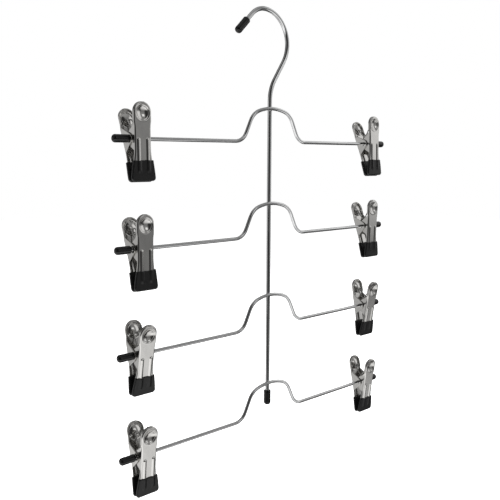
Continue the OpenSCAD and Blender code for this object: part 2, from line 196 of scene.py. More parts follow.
def make_vinyl(name, base, rough, grain):
    # black vinyl: a faint skin grain, uneven sheen, a few rubbed lighter patches
    m, nt, b = nodes_of(name)
    uv = add(nt, "ShaderNodeUVMap").outputs["UV"]
    skin = noise(nt, uv, 1.0, 3, 0.6, (1400, 1400, 1))
    flow = noise(nt, uv, 1.0, 3, 0.5, (180, 90, 1))
    scuff = noise(nt, uv, 1.0, 5, 0.7, (260, 480, 1))
    c = ramp(nt, flow, [(0.25, grey(base * 0.75)), (0.75, grey(base * 1.25))])
    rub = ramp(nt, scuff, [(0.60, grey(0)), (0.78, grey(1))])
    mx = add(nt, "ShaderNodeMix", data_type="RGBA")
    nt.links.new(math_node(nt, "MULTIPLY", rub, 0.35), mx.inputs["Factor"])
    nt.links.new(c, mx.inputs["A"])
    mx.inputs["B"].default_value = grey(base * 2.2)
    nt.links.new(mx.outputs["Result"], b.inputs["Base Color"])
    b.inputs["Specular IOR Level"].default_value = 0.45
    r = math_node(nt, "MULTIPLY_ADD", flow, 0.12, rough)
    nt.links.new(math_node(nt, "MULTIPLY_ADD", rub, 0.1, r), b.inputs["Roughness"])
    n1 = bump(nt, skin, 0.25 * grain, 0.00005)
    n2 = bump(nt, flow, 0.35 * grain, 0.0003, n1)
    nt.links.new(n2, b.inputs["Normal"])
    return m


MAT = {
    "chromed_wire": make_chrome(),
    "clip_steel": make_plate(),
    "spring_wire": make_spring(),
    "black_vinyl": make_vinyl("black_vinyl", 0.004, 0.09, 0.35),
    "dipped_vinyl": make_vinyl("dipped_vinyl", 0.0035, 0.30, 1.0),
}


# ---------------------------------------------------------------- mesh helpers
def build(name, verts, faces, uvs, slot, body, replaces, wear=None, flip=False, smooth=True):
    """verts in mm in the row frame; uvs one (u, v) in metres per vertex."""
    me = bpy.data.meshes.new(name)
    v = np.asarray(verts, float) * MM
    if flip:
        faces = [tuple(reversed(f)) for f in faces]
    me.from_pydata(v.tolist(), [], [tuple(int(i) for i in f) for f in faces])
    me.update()
    lay = me.uv_layers.new(name="UVMap")
    uvs = np.asarray(uvs, float)
    idx = np.zeros(len(me.loops), int)
    me.loops.foreach_get("vertex_index", idx)
    lay.data.foreach_set("uv", uvs[idx].ravel())
    at = me.attributes.new("wear", "FLOAT", "POINT")
    at.data.foreach_set("value", np.zeros(len(v)) if wear is None else np.asarray(wear, float))
    if smooth:
        me.polygons.foreach_set("use_smooth", np.ones(len(me.polygons), bool))
    me.materials.append(MAT[slot])
    ob = bpy.data.objects.new(name, me)
    bpy.context.scene.collection.objects.link(ob)
    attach(ob, body)
    if replaces:
        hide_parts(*replaces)
    return ob


def unit(a):
    return a / np.linalg.norm(a)


def arc(c, r, a0, a1, step=2.5):
    n = max(3, int(abs(a1 - a0) / math.radians(step)) + 1)
    return [(c[0] + r * math.cos(a), c[1] + r * math.sin(a)) for a in np.linspace(a0, a1, n)]


def even(points, step):
    """The same line, resampled at even steps."""
    p = np.asarray(points, float)
    d = np.r_[0, np.cumsum(np.linalg.norm(np.diff(p, axis=0), axis=1))]
    keep = np.r_[True, np.diff(d) > 1e-9]
    p, d = p[keep], d[keep]
    n = max(2, int(round(d[-1] / step)) + 1)
    t = np.linspace(0, d[-1], n)
    return np.stack([np.interp(t, d, p[:, i]) for i in range(p.shape[1])], 1)


def relax(p, sigma):
    """Softens the change from straight to bend, ends kept; sigma in samples."""
    k = int(3 * sigma)
    w = np.exp(-0.5 * (np.arange(-k, k + 1) / sigma) ** 2)
    w /= w.sum()
    pad = np.concatenate([2 * p[0] - p[k:0:-1], p, 2 * p[-1] - p[-2:-k - 2:-1]])
    return np.stack([np.convolve(pad[:, i], w, "valid") for i in range(p.shape[1])], 1)


def thin(p, dev=0.004, most=7.0):
    """Drops samples on straight runs, so that long straights have few rings."""
    keep = [0]
    i = 0
    n = len(p)
    while i < n - 1:
        j = i + 1
        while j + 1 < n:
            a, b = p[i], p[j + 1]
            if np.linalg.norm(b - a) > most:
                break
            seg = p[i:j + 2]
            t = (b - a) / np.linalg.norm(b - a)
            off = seg - a
            dist = np.linalg.norm(off - np.outer(off @ t, t), axis=1).max()
            if dist > dev:
                break
            j += 1
        keep.append(j)
        i = j
    return p[keep]


def tube(path, r, sides=24, up=(0, 1, 0), cap0=0.0, cap1=0.0):
    """A swept tube with rounded or bevelled ends. Returns verts, faces, uvs (v along, u round), all mm."""
    p = np.asarray(path, float)
    n = len(p)
    t = np.zeros_like(p)
    t[1:-1] = p[2:] - p[:-2]
    t[0] = p[1] - p[0]
    t[-1] = p[-1] - p[-2]
    t /= np.linalg.norm(t, axis=1)[:, None]
    u = np.zeros_like(p)
    v0 = np.asarray(up, float)
    for i in range(n):
        v0 = v0 - (v0 @ t[i]) * t[i]
        v0 = v0 / np.linalg.norm(v0)
        u[i] = v0
    w = np.cross(t, u)
    rings, radii, along = [], [], []
    d = np.r_[0, np.cumsum(np.linalg.norm(np.diff(p, axis=0), axis=1))]
    def end(i, sgn, c):
        out = []
        if c > 0:
            for a in (75, 50, 25):
                a = math.radians(a)
                out.append((p[i] + sgn * t[i] * c * (math.sin(a) - 1), r - c * (1 - math.cos(a)), i))
        return out
    a0 = end(0, -1, cap0)
    a1 = end(n - 1, 1, cap1)
    seq = [(q, rr, i) for q, rr, i in a0]
    lo = 1 if cap0 > 0 else 0
    hi = n - 1 if cap1 > 0 else n
    if cap0 > 0:
        seq.append((p[0] + t[0] * cap0, r, 0))
    seq += [(p[i], r, i) for i in range(lo, hi)]
    if cap1 > 0:
        seq.append((p[-1] - t[-1] * cap1, r, n - 1))
        seq += list(reversed(a1))
    ang = np.linspace(0, 2 * math.pi, sides, endpoint=False)
    verts, uvs = [], []
    for q, rr, i in seq:
        for a in ang:
            verts.append(q + rr * (math.cos(a) * u[i] + math.sin(a) * w[i]))
            uvs.append(((a if a <= math.pi else 2 * math.pi - a) * r * MM, d[i] * MM))
    faces = []
    m = len(seq)
    for i in range(m - 1):
        for j in range(sides):
            k = (j + 1) % sides
            faces.append((i * sides + j, i * sides + k, (i + 1) * sides + k, (i + 1) * sides + j))
    faces.append(tuple(range(sides - 1, -1, -1)))
    faces.append(tuple((m - 1) * sides + j for j in range(sides)))
    return np.array(verts), faces, np.array(uvs)


def join_parts(parts):
    V, F, U, W = [], [], [], []
    k = 0
    for p in parts:
        v, f, u = p[:3]
        V.append(np.asarray(v))
        U.append(np.asarray(u))
        W.append(np.zeros(len(v)) if len(p) < 4 else np.asarray(p[3]))
        F += [tuple(i + k for i in g) for g in f]
        k += len(v)
    return np.concatenate(V), F, np.concatenate(U), np.concatenate(W)


# ---------------------------------------------------------------- hook and stem
def hook_path():
    s45 = math.sin(math.pi / 4)
    t0 = np.array([-R_OPEN * s45, R_OPEN * s45])
    tail = t0 + TAIL * np.array([-s45, -s45])
    cz = R_OPEN - R_BACK
    be = np.array([R_BACK * math.cos(HA), cz - R_BACK * math.sin(HA)])
    ntx = STEM_X + NECK_R * (1 - math.cos(HA))
    run = (be[0] - ntx) / math.sin(HA)
    nz = be[1] - run * math.cos(HA) - NECK_R * math.sin(HA)
    pts = [tuple(tail)]
    pts += arc((0, 0), R_OPEN, math.radians(135), math.radians(90))
    pts += arc((0, cz), R_BACK, math.radians(90), -HA)
    pts += arc((STEM_X + NECK_R, nz), NECK_R, math.pi - HA, math.pi)
    pts += [(STEM_X, STEM_END)]
    p = even(pts, 0.5)
    p = relax(p, 3.0)
    return p


def to3(p, y):
    return np.stack([p[:, 0], np.full(len(p), y), p[:, 1]], 1)


hp = thin(to3(hook_path(), 0.0), 0.006, 9.0)
v, f, u = tube(hp, STEM_R, 28, (0, 1, 0), 0.3, 0.3)
build("hook_stem.wire", v, f, u, "chromed_wire", "frame", ["hook_stem"])


# ---------------------------------------------------------------- cross wires
def arch_path():
    shx = CROWN_R * math.sin(CROWN_A)
    shz = ARCH_H - CROWN_R * (1 - math.cos(CROWN_A))
    sdx = shx + SHOULDER_R * (math.sin(SLOPE) - math.sin(CROWN_A))
    sdz = shz - SHOULDER_R * (math.cos(CROWN_A) - math.cos(SLOPE))
    fz = FOOT_R * (1 - math.cos(SLOPE))
    ftx = sdx + (sdz - fz) / math.tan(SLOPE)
    fx = ftx + FOOT_R * math.sin(SLOPE)
    half = arc((0, ARCH_H - CROWN_R), CROWN_R, math.pi / 2, math.pi / 2 - CROWN_A)
    half += arc((shx - SHOULDER_R * math.sin(CROWN_A), shz - SHOULDER_R * math.cos(CROWN_A)), SHOULDER_R,
                math.pi / 2 - CROWN_A, math.pi / 2 - SLOPE)[1:]
    half += arc((fx, FOOT_R), FOOT_R, math.radians(270) - SLOPE, math.radians(270))
    full = [(-(ARM[-1] - CAP_FLOOR), 0)] + [(-x, z) for x, z in reversed(half[1:])] + half + [(ARM[1] - CAP_FLOOR, 0)]
    p = even(full, 0.5)
    return relax(p, 2.6)


def weld_bead(k):
    """The squeezed-out metal where a cross wire meets the stem: a low saddle between the two wires."""
    rng = np.random.RandomState(40 + k)
    z0 = tier_z(k) + ARCH_H
    yc = -STEM_R + WELD / 2
    nu, nv = 28, 9
    verts, uvs = [], []
    for j in range(nv):
        t = j / (nv - 1)                      # 0 at the stem side, 1 at the cross-wire side
        y = yc + 0.62 * (1 - 2 * t)
        waist = 0.34 * math.sin(math.pi * t)
        for i in range(nu):
            a = 2 * math.pi * i / nu
            rx = 1.30 - waist + 0.35 * abs(math.cos(a)) * t
            rz = 1.30 - waist + 0.35 * abs(math.sin(a)) * (1 - t)
            wob = 1 + 0.05 * math.sin(3 * a + k) + 0.03 * math.sin(5 * a + 2 * k)
            verts.append((STEM_X + rx * wob * math.cos(a), y, z0 + rz * wob * math.sin(a)))
            uvs.append((1.3 * a * MM, y * MM))
    faces = []
    for j in range(nv - 1):
        for i in range(nu):
            h = (i + 1) % nu
            faces.append((j * nu + i, (j + 1) * nu + i, (j + 1) * nu + h, j * nu + h))
    faces.append(tuple(range(nu)))
    faces.append(tuple((nv - 1) * nu + i for i in range(nu - 1, -1, -1)))
    return np.array(verts), faces, np.array(uvs), np.full(len(verts), 0.5)


ap = thin(to3(arch_path(), 0.0), 0.006, 9.0)
for k in (1, 2, 3, 4):
    q = ap + np.array([STEM_X, TIER_Y, tier_z(k)])
    parts = [tube(q, WIRE_R, 24, (0, 1, 0), 0.25, 0.25), weld_bead(k)]
    v, f, u, w = join_parts(parts)
    build("tier_wire_%d.wire" % k, v, f, u, "chromed_wire", "frame", ["tier_wire_%d" % k], wear=w)


# ---------------------------------------------------------------- caps
def lathe(profile, sides=44):
    """profile: (r, z) from the closed end's middle, round to the mouth and back inside."""
    prof = np.asarray(profile, float)
    d = np.r_[0, np.cumsum(np.linalg.norm(np.diff(prof, axis=0), axis=1))]
    ang = np.linspace(0, 2 * math.pi, sides, endpoint=False)
    verts, uvs = [(0, 0, prof[0, 1])], [(0, 0)]
    for (r, z), s in zip(prof[1:], d[1:]):
        for a in ang:
            verts.append((r * math.cos(a), r * math.sin(a), z))
            uvs.append(((a if a <= math.pi else 2 * math.pi - a) * 3.2 * MM, s * MM))
    faces = [(0, 1 + (j + 1) % sides, 1 + j) for j in range(sides)]
    n = len(prof) - 1
    for i in range(n - 1):
        for j in range(sides):
            h = (j + 1) % sides
            faces.append((1 + i * sides + j, 1 + i * sides + h, 1 + (i + 1) * sides + h, 1 + (i + 1) * sides + j))
    faces.append(tuple(1 + (n - 1) * sides + j for j in range(sides)))
    return np.array(verts), faces, np.array(uvs)


def cap_profile(d, length, bore):
    r = d / 2
    k = 0.80 * r                                # length of the round end
    prof = []
    for a in np.linspace(0, 90, 13):
        a = math.radians(a)
        # a squarish round end, like a moulded cap's
        prof.append((r * math.sin(a) ** 0.88, k * (1 - math.cos(a) ** 0.95)))
    for z in np.linspace(k + 0.8, length - 0.75, 8):
        prof.append((r - 0.03 * math.sin(math.pi * (z - k) / (length - k)), z))
    for a in (20, 45, 70, 90):
        a = math.radians(a)
        prof.append((r - 0.55 * (1 - math.cos(a)), length - 0.55 + 0.55 * math.sin(a)))
    prof += [(bore + 0.35, length - 0.02), (bore + 0.12, length - 0.12), (bore - 0.02, length - 0.4)]
    return prof


def place_cap(name, d, length, bore, origin, axis, replaces, seed):
    rng = np.random.RandomState(seed)
    v, f, u = lathe(cap_profile(d, length, bore))
    a = np.arctan2(v[:, 1], v[:, 0])
    # slight handling softness, so that no cap is a perfect turning
    s = 1 + 0.006 * np.sin(2 * a + seed) + 0.004 * np.sin(v[:, 2] * 0.9 + seed)
    v = v * np.stack([np.minimum(s, 1), np.minimum(s, 1), np.ones(len(v))], 1)
    z = unit(np.asarray(axis, float))
    x = unit(np.cross((0.0, 1.0, 0.0), z) if abs(z[1]) < 0.9 else np.cross((1.0, 0, 0), z))
    y = np.cross(z, x)
    w = np.asarray(origin) + v[:, :1] * x + v[:, 1:2] * y + v[:, 2:] * z
    return build(name, w, f, u, "black_vinyl", "frame", replaces)


s45 = math.sin(math.pi / 4)
tail_end = np.array([-R_OPEN * s45 - TAIL * s45, 0, R_OPEN * s45 - TAIL * s45])
hook_axis = np.array([s45, 0, s45])
place_cap("hook_cap.vinyl", BIG_CAP_D, HOOK_CAP_LEN, STEM_R, tail_end - CAP_FLOOR * hook_axis, hook_axis, ["hook_cap"], 3)
place_cap("stem_cap.vinyl", BIG_CAP_D, STEM_CAP_LEN, STEM_R, (STEM_X, 0, STEM_END - CAP_FLOOR), (0, 0, 1), ["stem_cap"], 4)
for k in (1, 2, 3, 4):
    for side, sg in (("left", -1), ("right", 1)):
        place_cap("end_cap_%d_%s.vinyl" % (k, side), CAP_D, CAP_LEN, WIRE_R,
                  (STEM_X + sg * ARM[sg], TIER_Y, tier_z(k)), (-sg, 0, 0), ["end_cap_%d_%s" % (k, side)], 10 + 2 * k + (sg > 0))


# ---------------------------------------------------------------- clip plates
HW, PW, JW = HANDLE_W / 2, PIVOT_W / 2, JAW_W / 2
BACK_HALF = PW + SHEET + 0.2
STEEL_DOWN = DOWN - DIP_T
TOP_C = UP - HW
RECESS_C = TOP_C - 0.9
CORNER = 2.2
EAR_R, EAR_TOP, EAR_LOW = 4.5, 12.6, -9.4
RIM_DEEP, LIP_DEEP = 2.4, 1.4


def smooth01(t):
    t = np.clip(t, 0, 1)
    return t * t * (3 - 2 * t)


def half_at(s, w):
    s = np.asarray(s, float)
    a = w + (HW - w) * smooth01((s - 9) / 5)
    b = w + (JW - w) * smooth01((-7 - s) / 26)
    return np.where(s > 9, a, np.where(s > -7, w, b))


def softmax0(x, k):
    """max(x, 0) with a rounded foot of size k."""
    return 0.5 * (x + np.sqrt(x * x + k * k)) - 0.0


def rib_height(x, s, r=1.7, inn=0.92, k=0.16):
    """Height of the two pressed ribs over the plate."""
    d = np.full(np.shape(x), 99.0)
    for sx in (-1, 1):
        t = np.clip(s, -24.0, -1.0)
        d = np.minimum(d, np.hypot(x - sx * (RIB_X - 0.2), s - t))
    h = np.sqrt(np.maximum(r * r - np.minimum(d, r - 0.001) ** 2, 0)) - inn - np.maximum(d - r, 0) * 4
    h = softmax0(h, k) - 0.5 * (np.sqrt((inn + 1) ** 2 + k * k) - (inn + 1)) * 0
    return np.where(d > r + 0.9, 0, np.maximum(h - 0.012, 0))


def dish_depth(r):
    """Depth of the thumb recess against the distance from its middle."""
    wall = 0.55 * smooth01((6.20 - r) / 0.95)
    rr = np.minimum(r, 5.1)
    bowl = 1.45 * (1 - (rr / 5.1) ** 2)
    lip = -0.10 * np.exp(-((r - 6.50) / 0.35) ** 2)
    ridge = -0.12 * np.exp(-((r - 5.05) / 0.28) ** 2)
    return wall + bowl + lip + ridge


def ear_depth(s):
    """How deep the side flange goes at height s: the ears' outline about the pivot."""
    g = GAP
    def tangent(px, py, sgn):
        d = math.hypot(px, py)
        a = math.atan2(py, px)
        b = math.acos(EAR_R / d)
        return EAR_R * math.cos(a + sgn * b), EAR_R * math.sin(a + sgn * b)
    tx, ts = tangent(g, EAR_TOP, 1)
    bx, bs = tangent(g, EAR_LOW, -1)
    out = np.zeros_like(s)
    for i, v in enumerate(s):
        if v >= EAR_TOP or v <= EAR_LOW:
            n = g
        elif v > ts:
            n = g + (tx - g) * (EAR_TOP - v) / (EAR_TOP - ts)
        elif v < bs:
            n = g + (bx - g) * (v - EAR_LOW) / (bs - EAR_LOW)
        else:
            n = -math.sqrt(max(EAR_R ** 2 - v * v, 0))
        out[i] = g + SHEET - n
    return out


def plate_mesh(w, mirror_wear=0):
    """One pressed plate, flat-drawn: columns x across, s along, n out of the clip. Returns vertices in mm, faces, uvs
    in metres and wear.
    """
    rbf = lambda s: 1.0 + 0.25 * smooth01((10.5 - np.asarray(s, float)) / 4)
    rb = 1.0
    R = HW - rb
    s0 = -STEEL_DOWN + 1.25
    rc = CORNER - 1.25
    # rows
    rows = []
    for a in np.linspace(0, 90, 5)[:-1]:
        rows.append(s0 + rc * (1 - math.cos(math.radians(a))))
    rows += list(np.arange(s0 + rc, -26.0, 0.9))
    rows += list(np.arange(-26.0, -22.5, 0.45))
    rows += list(np.arange(-22.5, -1.6, 0.8))
    rows += list(np.arange(-1.6, 2.2, 0.28))
    rows += list(np.arange(2.2, 11.0, 0.55))
    rows += list(np.arange(11.0, TOP_C - 0.2, 0.26))
    rows = np.array(rows)
    xm = half_at(rows, w) - rbf(rows)
    low = rows < s0 + rc
    xm[low] = (half_at(rows[low], w) - 1.25) - rc + np.sqrt(np.maximum(rc ** 2 - (rc - (rows[low] - s0)) ** 2, 0))
    th = np.linspace(0, 80, 30)[0:]
    rows = np.r_[rows, TOP_C + R * np.sin(np.radians(th))]
    xm = np.r_[xm, R * np.cos(np.radians(th))]
    nu = 61
    uu = np.linspace(-1, 1, nu)
    # closer columns near the ribs' and recess's edges come from the even grid being fine enough
    X = np.outer(xm, uu)
    S = np.repeat(rows[:, None], nu, 1)
    nr = len(rows)
    rr = np.hypot(X, S - RECESS_C)
    H = rib_height(X, S) - dish_depth(rr) * (rr < 8)
    edge = np.minimum(1, (xm[:, None] - np.abs(X)) / 0.25)
    N = GAP + SHEET + H
    verts = [np.stack([X.ravel(), S.ravel(), N.ravel()], 1)]
    uvs = [np.stack([X.ravel(), S.ravel()], 1)]
    wear = [np.zeros(nr * nu)]
    faces = []
    idx = np.arange(nr * nu).reshape(nr, nu)
    for i in range(nr - 1):
        for j in range(nu - 1):
            faces.append((idx[i, j], idx[i, j + 1], idx[i + 1, j + 1], idx[i + 1, j]))
    # boundary loop: bottom, right side up, top, left side down (counter-clockwise seen from outside)
    loop = list(idx[0, :]) + list(idx[1:, -1]) + list(idx[-1, -2::-1]) + list(idx[-2:0:-1, 0])
    P = np.array([(X.ravel()[i], S.ravel()[i]) for i in loop])
    base = np.array([N.ravel()[i] for i in loop])
    nl = len(loop)
    rbl = rbf(P[:, 1])
    # outward directions
    nrm = np.zeros((nl, 2))
    for i in range(nl):
        a, b = P[(i - 1) % nl], P[(i + 1) % nl]
        t = (b - a) / max(np.linalg.norm(b - a), 1e-9)
        nrm[i] = (t[1], -t[0])
    # on the round top the outward direction is exactly radial, on the ears' stretch exactly sideways
    for i in range(nl):
        x, s = P[i]
        if s > TOP_C:
            d = np.array([x, s - TOP_C])
            nrm[i] = d / np.linalg.norm(d)
        elif abs(x) > 6.5 and -7 <= s <= 9:
            nrm[i] = (math.copysign(1, x), 0)
    depth = np.full(nl, RIM_DEEP)
    side = np.abs(P[:, 0]) > 3
    sv = P[:, 1]
    ed = ear_depth(sv)
    for i in range(nl):
        s = sv[i]
        if s > EAR_TOP + 0.2:
            depth[i] = RIM_DEEP - 0.9 * math.exp(-((s - 13.4) / 0.55) ** 2) * (abs(P[i, 0]) > 4)
        elif s > EAR_LOW and side[i]:
            depth[i] = max(ed[i], 1.6)
        else:
            depth[i] = LIP_DEEP + 0.25
    rings = []
    for a in (22.5, 45, 67.5, 90):
        a = math.radians(a)
        rings.append((math.sin(a), 1 - math.cos(a), None))
    fl = [0.12, 0.25, 0.38, 0.5, 0.62, 0.74, 0.86, 1.0]
    for t in fl:
        rings.append((1.0, None, t))
    prev = list(loop)
    count = nr * nu
    for off, dz, t in rings:
        off = rbl * off
        pts = P + nrm * off[:, None]
        if t is None:
            n = base - rbl * dz
            wv = 0.0
        else:
            n = base - (rbl + (depth - rbl) * t)
            wv = 0.0 if t < 1 else 0.6
        verts.append(np.stack([pts[:, 0], pts[:, 1], n], 1))
        # the texture runs on round the bend
        uvs.append(np.stack([P[:, 0] + nrm[:, 0] * (off + (base - n)), P[:, 1] + nrm[:, 1] * (off + (base - n))], 1))
        wear.append(np.full(nl, wv))
        cur = list(range(count, count + nl))
        for i in range(nl):
            j = (i + 1) % nl
            faces.append((prev[i], cur[i], cur[j], prev[j]))
        prev = cur
        count += nl
    V = np.concatenate(verts)
    U = np.concatenate(uvs) * MM
    W = np.concatenate(wear)
    return V, faces, U, W


def solid_plate(w, key):
    """Thickens the pressing, drills its ears, and softens its cut edges. Returns a Blender mesh in flat-drawn mm."""
    V, F, U, W = plate_mesh(w)
    me = bpy.data.meshes.new("flat_" + key)
    me.from_pydata(V.tolist(), [], [tuple(int(i) for i in f) for f in F])
    me.update()
    lay = me.uv_layers.new(name="UVMap")
    idx = np.zeros(len(me.loops), int)
    me.loops.foreach_get("vertex_index", idx)
    lay.data.foreach_set("uv", U[idx].ravel())
    at = me.attributes.new("wear", "FLOAT", "POINT")
    at.data.foreach_set("value", W)
    ob = bpy.data.objects.new("flat_" + key, me)
    bpy.context.scene.collection.objects.link(ob)
    so = ob.modifiers.new("t", "SOLIDIFY")
    so.thickness = SHEET
    so.offset = -1
    so.use_even_offset = True
    so.use_quality_normals = True
    so.use_rim = True
    # the pivot hole
    cm = bpy.data.meshes.new("drill")
    bm = bmesh.new()
    bmesh.ops.create_cone(bm, cap_ends=True, segments=40, radius1=1.8, radius2=1.8, depth=40,
                          matrix=Matrix.Rotation(math.pi / 2, 4, "Y"))
    bm.to_mesh(cm)
    bm.free()
    drill = bpy.data.objects.new("drill", cm)
    bpy.context.scene.collection.objects.link(drill)
    bo = ob.modifiers.new("b", "BOOLEAN")
    bo.operation = "DIFFERENCE"
    bo.solver = "EXACT"
    bo.object = drill
    be = ob.modifiers.new("e", "BEVEL")
    be.width = 0.16
    be.segments = 2
    be.limit_method = "ANGLE"
    be.angle_limit = math.radians(50)
    be.use_clamp_overlap = True
    be.harden_normals = False
    dg = bpy.context.evaluated_depsgraph_get()
    ev = ob.evaluated_get(dg)
    out = bpy.data.meshes.new_from_object(ev, depsgraph=dg)
    bpy.data.objects.remove(ob)
    bpy.data.objects.remove(drill)
    out.name = "pressing_" + key
    return out


def seat_matrix(side, k, which):
    """Flat-drawn mm to the row frame in metres."""
    # (x, s, n) -> clip frame
    ca, sa = math.cos(LEAN_A), math.sin(LEAN_A)
    # front: y = -(n cos a + s sin a), z = s cos a - n sin a
    sy = -1 if side == "front" else 1
    M = Matrix(((1, 0, 0, 0),
                (0, sy * sa, sy * ca, 0),
                (0, ca, -sa, 0),
                (0, 0, 0, 1)))
    sg = -1 if which == "left" else 1
    T = Matrix.Translation(Vector((STEM_X + sg * (ARM[sg] - CLIP_IN[k, which]), TIER_Y, tier_z(k))))
    R = Matrix.Rotation(-math.radians(LEANS[(k, which)]), 4, "X")
    return Matrix.Scale(MM, 4) @ T @ R @ M


PRESSING = {"front": solid_plate(PW, "front"), "back": solid_plate(BACK_HALF, "back")}


def place_mesh(src, name, M, slot, body, replaces):
    me = src.copy()
    me.name = name
    me.transform(M)
    if M.to_3x3().determinant() < 0:
        me.flip_normals()
    me.materials.clear()
    me.materials.append(MAT[slot])
    me.polygons.foreach_set("material_index", np.zeros(len(me.polygons), np.int32))
    me.polygons.foreach_set("use_smooth", np.ones(len(me.polygons), bool))
    me.update()
    ob = bpy.data.objects.new(name, me)
    bpy.context.scene.collection.objects.link(ob)
    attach(ob, body)
    if replaces:
        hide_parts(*replaces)
    return ob


# ---------------------------------------------------------------- dipped tips
def tip_mesh(w, seed):
    """A thick dipped sleeve on the jaw, flat-drawn mm: soft corners, a wavy upper edge, the ribs showing through."""
    rng = np.random.RandomState(seed)
    n_in, n_out = GAP + SHEET - LIP_DEEP - 0.6, GAP + SHEET + DIP_T
    top, bot = -DOWN + DIP_H, -DOWN
    ph = rng.uniform(0, 6.28, 6)
    tilt = rng.uniform(-0.25, 0.25)
    def wave(x):
        return (0.16 * math.sin(0.55 * x + ph[0]) + 0.10 * math.sin(1.25 * x + ph[1]) + 0.05 * math.sin(2.6 * x + ph[2])
                + tilt * x / 12)
    # cross-section: rounded rectangle, evenly stepped
    def section(a, n0, n1, rc):
        pts = []
        rc = min(rc, (n1 - n0) / 2 - 0.01, a - 0.01)
        nx = 34
        xs = np.linspace(-a + rc, a - rc, nx)
        ns = np.linspace(n0 + rc, n1 - rc, 4)
        for x in xs:
            pts.append((x, n1))
        for t in np.linspace(90, 0, 6)[1:-1]:
            pts.append((a - rc + rc * math.cos(math.radians(t)), n1 - rc + rc * math.sin(math.radians(t))))
        for n in ns[::-1]:
            pts.append((a, n))
        for t in np.linspace(0, -90, 6)[1:-1]:
            pts.append((a - rc + rc * math.cos(math.radians(t)), n0 + rc + rc * math.sin(math.radians(t))))
        for x in xs[::-1]:
            pts.append((x, n0))
        for t in np.linspace(-90, -180, 6)[1:-1]:
            pts.append((-a + rc + rc * math.cos(math.radians(t)), n0 + rc + rc * math.sin(math.radians(t))))
        for n in ns:
            pts.append((-a, n))
        for t in np.linspace(180, 90, 6)[1:-1]:
            pts.append((-a + rc + rc * math.cos(math.radians(t)), n1 - rc + rc * math.sin(math.radians(t))))
        return np.array(pts)
    rows = []   # (s, shrink in x, shrink in n, follows the wavy edge by this much)
    rows.append((top - 0.05, 1.05, 0.95, 1.0))
    rows.append((top, 0.55, 0.50, 1.0))
    for a in (60, 30, 0):
        a = math.radians(a)
        rows.append((top - 0.38 + 0.38 * math.sin(a), 0.38 * (1 - math.cos(a)), 0.38 * (1 - math.cos(a)), 1.0))
    for t in np.linspace(0, 1, 20)[1:]:
        s = top - 0.38 + (bot + 2.9 - top + 0.38) * t
        rows.append((s, 0, 0, max(0, 1 - t * 2.2)))
    cr = 2.9
    for a in np.linspace(0, 90, 9)[1:]:
        a = math.radians(a)
        s = bot + cr - cr * math.sin(a)
        e = max(0.0, 1.15 - (s - bot))
        dn = 1.15 - math.sqrt(max(1.15 ** 2 - e ** 2, 0))
        rows.append((s, cr * (1 - math.cos(a)), dn, 0))
    verts, uvs = [], []
    m = None
    for s, dx, dn, wv in rows:
        a = float(half_at(s, w)) + DIP_T - dx
        n0, n1 = n_in + dn, n_out - dn
        sec = section(a, n0, n1, 1.05)
        m = len(sec)
        d = 0.0
        for i, (x, n) in enumerate(sec):
            ss = s + wv * wave(x)
            nn = n
            if n > (n_in + n_out) / 2:
                fade = float(smooth01((s + 27.0) / 3.0)) * (1 - min(1, dx / 0.4) if s > -20 else 1)
                nn += 0.95 * float(rib_height(np.array(x), np.array(min(max(s, -24.0), -12.0)), 2.15, 1.37, 0.26)) * fade
                # sag: a dipped skin is a little fuller towards the bottom
                nn += 0.10 * math.exp(-((s + 31.2) / 2.2) ** 2)
            verts.append((x, ss, nn))
            if i:
                d += math.hypot(x - sec[i - 1][0], n - sec[i - 1][1])
            uvs.append((d * MM, ss * MM))
    faces = []
    for r in range(len(rows) - 1):
        for i in range(m):
            j = (i + 1) % m
            faces.append((r * m + i, r * m + j, (r + 1) * m + j, (r + 1) * m + i))
    # close the ends with a fan of triangles round the section's middle point
    def close(r, rev):
        base = r * m
        c = np.mean([verts[base + i] for i in range(m)], axis=0)
        verts.append(tuple(c))
        uvs.append((0.005, c[1] * MM))
        k = len(verts) - 1
        for i in range(m):
            j = (i + 1) % m
            faces.append((base + j, base + i, k) if rev else (base + i, base + j, k))
    close(0, True)
    close(len(rows) - 1, False)
    me = bpy.data.meshes.new("tip")
    me.from_pydata([tuple(float(c) for c in q) for q in verts], [], faces)
    me.update()
    lay = me.uv_layers.new(name="UVMap")
    idx = np.zeros(len(me.loops), int)
    me.loops.foreach_get("vertex_index", idx)
    lay.data.foreach_set("uv", np.array(uvs)[idx].ravel())
    me.attributes.new("wear", "FLOAT", "POINT")
    bm = bmesh.new()
    bm.from_mesh(me)
    bmesh.ops.recalc_face_normals(bm, faces=bm.faces)
    bm.to_mesh(me)
    bm.free()
    return me


# ---------------------------------------------------------------- springs
def front_pt(n, s):
    return np.array([-n * math.cos(LEAN_A) - s * math.sin(LEAN_A), -n * math.sin(LEAN_A) + s * math.cos(LEAN_A)])


def back_pt(n, s):
    return np.array([n * math.cos(LEAN_A) + s * math.sin(LEAN_A), -n * math.sin(LEAN_A) + s * math.cos(LEAN_A)])


LEG_OFF = GAP - SPRING_R - 0.06
DISH_R = (6.3 ** 2 + 2.2 ** 2) / 4.4


def rest_n(x, s):
    """How far out a spring end at height s rests against the back of the thumb recess."""
    q = DISH_R + SHEET + SPRING_R + 0.06
    return min(LEG_OFF, GAP + SHEET - 2.2 + DISH_R - math.sqrt(q * q - x * x - (s - RECESS_C) ** 2))


